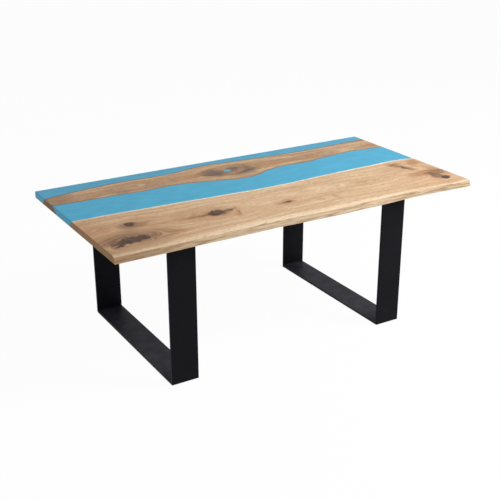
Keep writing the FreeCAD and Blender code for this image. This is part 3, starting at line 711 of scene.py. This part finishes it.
def powder_coat(name):
    """Black polyester powder coat baked on steel: near black with a fine orange peel and a
    low sheen that lifts to grey where it is seen at a flat angle."""
    material, tree = new_material(name)
    place = add(tree, "ShaderNodeTexCoord").outputs["Object"]
    peel = add(tree, "ShaderNodeTexNoise", {"Scale": 1 / (1.4 * MM), "Detail": 2.0},
               {"Vector": place})
    cloud = add(tree, "ShaderNodeTexNoise", {"Scale": 6.0, "Detail": 3.0}, {"Vector": place})
    base = add(tree, "ShaderNodeMix", {"data_type": "RGBA", 6: tone("#0C0C10"),
                                       7: tone("#131318")}, {0: cloud})
    # Painted sheen: a lighter grey on what faces up, in patches of some 60 mm, standing in for the
    # reflection on the tops of the bars
    normal = add(tree, "ShaderNodeNewGeometry").outputs["True Normal"]
    facing = add(tree, "ShaderNodeSeparateXYZ", None, {0: normal})
    patch = add(tree, "ShaderNodeTexNoise", {"Scale": 1 / (60 * MM), "Detail": 5.0},
                {"Vector": place})
    upward = add(tree, "ShaderNodeMapRange", {"From Min": 0.7, "From Max": 0.98},
                 {"Value": facing.outputs["Z"]})
    painted_sheen_up = add(tree, "ShaderNodeMath", {"operation": "MULTIPLY"}, {0: upward, 1: patch})
    base = add(tree, "ShaderNodeMix", {"data_type": "RGBA", 7: tone("#3A3A44")},
               {0: painted_sheen_up, 6: base})
    dull = add(tree, "ShaderNodeMapRange", {"To Min": 0.42, "To Max": 0.56}, {"Value": peel})
    finish_surface(tree, {"IOR": 1.5, "Specular IOR Level": 0.06}, base, dull, peel,
                   0.08 * MM, 0.5)
    return material


black_coat = powder_coat("black_powder_coat")


def plated(name, base_hex, other_hex, metallic, low, high):
    """Small turned steel or brass: faint turning marks and patches of finger-dulled plating."""
    material, tree = new_material(name)
    place = add(tree, "ShaderNodeTexCoord").outputs["Object"]
    patch = add(tree, "ShaderNodeTexNoise", {"Scale": 1 / (9 * MM), "Detail": 4.0},
                {"Vector": place})
    mark = add(tree, "ShaderNodeTexNoise", {"Scale": 1 / (0.8 * MM), "Detail": 2.0},
               {"Vector": place})
    base = add(tree, "ShaderNodeMix", {"data_type": "RGBA", 6: tone(base_hex),
                                       7: tone(other_hex)}, {0: patch})
    dull = add(tree, "ShaderNodeMapRange", {"To Min": low, "To Max": high}, {"Value": patch})
    finish_surface(tree, {"Metallic": metallic}, base, dull, mark, 0.05 * MM, 0.4)
    return material


black_bolt = plated("black_oxide_steel", "#26262A", "#34343A", 0.9, 0.35, 0.55)
zinc = plated("zinc_plated_steel", "#B9BCC0", "#9DA1A8", 1.0, 0.25, 0.45)
brass = plated("turned_brass", "#C9A15A", "#B58A45", 1.0, 0.25, 0.4)


def felt_pad(name):
    """Pressed wool felt: matt, matted fibres in no direction, slightly mottled."""
    material, tree = new_material(name)
    place = add(tree, "ShaderNodeTexCoord").outputs["Object"]
    fibre = add(tree, "ShaderNodeTexNoise",
                {"Scale": 1 / (0.9 * MM), "Detail": 5.0, "Distortion": 2.0}, {"Vector": place})
    base = add(tree, "ShaderNodeMix", {"data_type": "RGBA", 6: tone("#1E1E20"),
                                       7: tone("#3A3A3D")}, {0: fibre})
    finish_surface(tree, {"Roughness": 0.95, "Sheen Weight": 0.3}, base, None, fibre,
                   0.3 * MM, 0.8)
    return material


felt = felt_pad("pressed_felt")


def filled_knot(name):
    """Dark-tinted filler in the knots and cracks, sanded flush: a satin brown-black with a
    woody mottle 17 mm long and 6 mm across."""
    material, tree = new_material(name)
    place = add(tree, "ShaderNodeTexCoord").outputs["Object"]
    mottle_vector = add(tree, "ShaderNodeVectorMath",
                        {"operation": "MULTIPLY", 1: (60.0, 160.0, 60.0)}, {0: place})
    mottle = add(tree, "ShaderNodeTexNoise", {"Scale": 1.0, "Detail": 4.0},
                 {"Vector": mottle_vector})
    share = add(tree, "ShaderNodeMapRange", {"From Min": 0.4, "From Max": 0.7}, {"Value": mottle})
    base = add(tree, "ShaderNodeMix", {"data_type": "RGBA", 6: tone("#33211A"),
                                       7: tone("#634A3B")}, {0: share})
    finish_surface(tree, {"Roughness": 0.5, "Specular IOR Level": 0.1}, base, None, mottle,
                   0.2 * MM, 0.5)
    return material


dark_filler = filled_knot("dark_tinted_knot_filler")


def setting_out():
    """A node tree that repeats a form in a row along x and sets the row out on the points of a
    mesh, turned as each point says."""
    tree = bpy.data.node_groups.new("rows_on_spots", "GeometryNodeTree")
    for socket, kind in (("Spots", "NodeSocketGeometry"), ("Form", "NodeSocketObject"),
                         ("Pitch", "NodeSocketFloat"), ("Count", "NodeSocketInt"),
                         ("Finish", "NodeSocketMaterial")):
        tree.interface.new_socket(socket, in_out="INPUT", socket_type=kind)
    tree.interface.new_socket("Result", in_out="OUTPUT", socket_type="NodeSocketGeometry")
    given = add(tree, "NodeGroupInput").outputs
    shape = add(tree, "GeometryNodeObjectInfo", None, {"Object": given["Form"]})
    step = add(tree, "ShaderNodeCombineXYZ", None, {0: given["Pitch"]})
    line = add(tree, "GeometryNodeMeshLine", {"mode": "OFFSET"},
               {"Count": given["Count"], "Offset": step})
    # The row is centred on its spot
    length = add(tree, "ShaderNodeMath", {"operation": "MULTIPLY"},
                 {0: given["Pitch"], 1: given["Count"]})
    half = add(tree, "ShaderNodeMath", {"operation": "MULTIPLY", 1: -0.5}, {0: length})
    back = add(tree, "ShaderNodeCombineXYZ", None, {0: half})
    centred = add(tree, "GeometryNodeSetPosition", None, {"Geometry": line, "Offset": back})
    row = add(tree, "GeometryNodeInstanceOnPoints", None,
              {"Points": centred, "Instance": shape.outputs["Geometry"]})
    turn = add(tree, "GeometryNodeInputNamedAttribute",
               {"data_type": "FLOAT_VECTOR", "Name": "turn"})
    placed = add(tree, "GeometryNodeInstanceOnPoints", None,
                 {"Points": given["Spots"], "Instance": row.outputs["Instances"],
                  "Rotation": turn.outputs["Attribute"]})
    joined = add(tree, "GeometryNodeRealizeInstances", None, {0: placed})
    coated = add(tree, "GeometryNodeSetMaterial", None,
                 {"Geometry": joined, "Material": given["Finish"]})
    add(tree, "NodeGroupOutput", None, {0: coated})
    return tree


def set_out(name, tree, spots, **values):
    """A plain mesh of the form set out on the spots, each a place and its turns in degrees."""
    mesh = bpy.data.meshes.new(name)
    mesh.from_pydata([place for place, turns in spots], [], [])
    turn = mesh.attributes.new("turn", "FLOAT_VECTOR", "POINT")
    turn.data.foreach_set("vector", [math.radians(t) for place, turns in spots for t in turns])
    seeded = new_object(name + "_spots", mesh)
    modifier = seeded.modifiers.new("setting_out", "NODES")
    modifier.node_group = tree
    for socket in tree.interface.items_tree:
        if socket.name in values:
            modifier[socket.identifier] = values[socket.name]
    seen = seeded.evaluated_get(bpy.context.evaluated_depsgraph_get())
    plain = bpy.data.meshes.new_from_object(seen)
    seeded.modifiers.remove(modifier)
    bpy.data.objects.remove(seeded)
    plain.name = name
    return new_object(name, plain)


row_tree, one_bolt, one_ripple = setting_out(), bolt_form(), ripple_form()
frame_pieces = []
for side_name in ("left", "right"):
    bar_low, bar_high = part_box(side_name + "_top_bar")
    foot_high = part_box(side_name + "_foot_bar")[1]
    washer_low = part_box(side_name + "_washers")[0]
    middle_x, bar_width = (bar_low.x + bar_high.x) / 2, bar_high.x - bar_low.x
    bolt_places = [(middle_x + side * (bar_width / 2 - bolt_inset),
                    front_line + row * top_width, washer_low.z)
                   for row in bolt_row_share for side in (-1, 1)]
    bolts = set_out(side_name + "_button_bolts", row_tree,
                    [(place, (0, 0, 20 * i)) for i, place in enumerate(bolt_places)],
                    Form=one_bolt, Count=1, Finish=black_bolt)
    corners = [(bar_low.y, foot_high.z, 0), (bar_high.y, foot_high.z, 90),
               (bar_high.y, bar_low.z, 180), (bar_low.y, bar_low.z, 270)]
    welds = set_out(side_name + "_weld_beads", row_tree,
                    [((middle_x, y, z), (turn, 0, 0)) for y, z, turn in corners],
                    Form=one_ripple, Pitch=weld_pitch, Finish=black_coat,
                    Count=int((bar_width - weld_end_gap) / weld_pitch) - 1)
    frame_pieces += [(bolts, None, "black_bolt", side_name + "_bolts"),
                     (welds, None, "black_steel", side_name + "_welds")]
bpy.data.objects.remove(one_bolt)
bpy.data.objects.remove(one_ripple)

for piece, material, slot_name, node_name in [
        (front_board, front_oak, "pale_oak", "front_board"),
        (knot_fills, dark_filler, "dark_knot", "knot_fillers"),
        (middle_board, middle_oak, "brown_oak", "middle_board"),
        (river_casting, blue_resin, "blue_resin", "river_resin"),
        (edge_casting, edge_blue_painted_shade, "blue_resin", "edge_resin")] + frame_pieces:
    if material:
        piece.data.materials.append(material)
    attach(piece, "root")
    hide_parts(node_name)

cad_finish = {"knot_plug": blue_resin}
for side_name in ("left", "right"):
    for bar in ("front_upright", "rear_upright", "foot_bar", "top_bar"):
        cad_finish[side_name + "_" + bar] = black_coat
    cad_finish[side_name + "_washers"] = zinc
    cad_finish[side_name + "_inserts"] = brass
    cad_finish[side_name + "_floor_pads"] = felt
for node_name, material in cad_finish.items():
    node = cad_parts[node_name]
    node.data.materials.clear()
    node.data.materials.append(material)


def plainly_seen(tree):
    """1 for the rays of the camera and of gloss and glass, which see white, and 0 for light."""
    rays = add(tree, "ShaderNodeLightPath").outputs
    seen = rays["Is Camera Ray"]
    for other in ("Is Glossy Ray", "Is Transmission Ray"):
        seen = add(tree, "ShaderNodeMath", {"operation": "MAXIMUM"}, {0: seen, 1: rays[other]})
    return seen


# Floor: matt pale paper that catches the table's shadow and shows nearly white
floor_reach, floor_white = 30.0, 0.96
floor_mesh = bpy.data.meshes.new("studio_floor")
floor_mesh.from_pydata([(x * floor_reach, y * floor_reach, 0)
                        for x, y in ((-1, -1), (1, -1), (1, 1), (-1, 1))], [], [(0, 1, 2, 3)])
new_object("studio_floor", floor_mesh)
floor_paper, tree = new_material("white_studio_floor")
share = add(tree, "ShaderNodeMath", {"operation": "MULTIPLY", 1: floor_white},
            {0: plainly_seen(tree)})
matt = add(tree, "ShaderNodeBsdfDiffuse", {"Color": (0.80, 0.80, 0.80, 1.0)})
plain = add(tree, "ShaderNodeEmission", {"Color": (1.0, 1.0, 1.0, 1.0), "Strength": 1.0})
mixed = add(tree, "ShaderNodeMixShader", None, {0: share, 1: matt, 2: plain})
# From below the floor is clear, so the underside of the table can be looked at
under = add(tree, "ShaderNodeNewGeometry")
clear = add(tree, "ShaderNodeBsdfTransparent")
shown = add(tree, "ShaderNodeMixShader", None,
            {0: under.outputs["Backfacing"], 1: mixed, 2: clear})
add(tree, "ShaderNodeOutputMaterial", None, {"Surface": shown})
floor_mesh.materials.append(floor_paper)

# Room: white where it is seen, and a soft fill light
world = bpy.data.worlds.new("studio")
bpy.context.scene.world = world
world.use_nodes = True
tree = world.node_tree
tree.nodes.clear()
strength = add(tree, "ShaderNodeMapRange", {"To Min": 0.42, "To Max": 1.0},
               {"Value": plainly_seen(tree)})
sky = add(tree, "ShaderNodeBackground", {"Color": (1.0, 1.0, 1.0, 1.0)}, {"Strength": strength})
add(tree, "ShaderNodeOutputWorld", None, {"Surface": sky})


def softbox(name, place, aim, width, height, power):
    """A rectangular lamp, in metres and watts, turned towards its aim."""
    lamp = bpy.data.lights.new(name, "AREA")
    lamp.shape = "RECTANGLE"
    lamp.size, lamp.size_y, lamp.energy = width, height, power
    box = new_object(name, lamp)
    box.location = place
    box.rotation_mode = "QUATERNION"
    box.rotation_quaternion = (Vector(place) - Vector(aim)).to_track_quat("Z", "Y")


softbox("key_softbox", (3.4, -2.6, 3.7), (0.4, -0.1, 0.6), 2.6, 2.6, 330.0)
softbox("left_softbox", (-4.2, -0.6, 2.4), (-0.4, 0.0, 0.5), 2.4, 2.0, 12.0)

# Camera: fitted to the corners of the top in the photograph, 500 pixels wide
focal_pixels, frame_pixels = 919.3, 500.0
turn_left, look_down, tilt = -30.973, 22.322, -0.096
camera_data = bpy.data.cameras.new("view_camera")
camera_data.sensor_width = 36.0
camera_data.lens = camera_data.sensor_width * focal_pixels / frame_pixels
camera = new_object("view_camera", camera_data)
camera.location = (-2.3295, -3.8120, 2.2091)
camera.rotation_mode = "QUATERNION"
camera.rotation_quaternion = (
    Matrix.Rotation(math.radians(turn_left), 3, "Z")
    @ Matrix.Rotation(math.radians(90.0 - look_down), 3, "X")
    @ Matrix.Rotation(math.radians(tilt), 3, "Z")).to_quaternion()
bpy.context.scene.camera = camera
bpy.context.scene.view_settings.view_transform = "Standard"
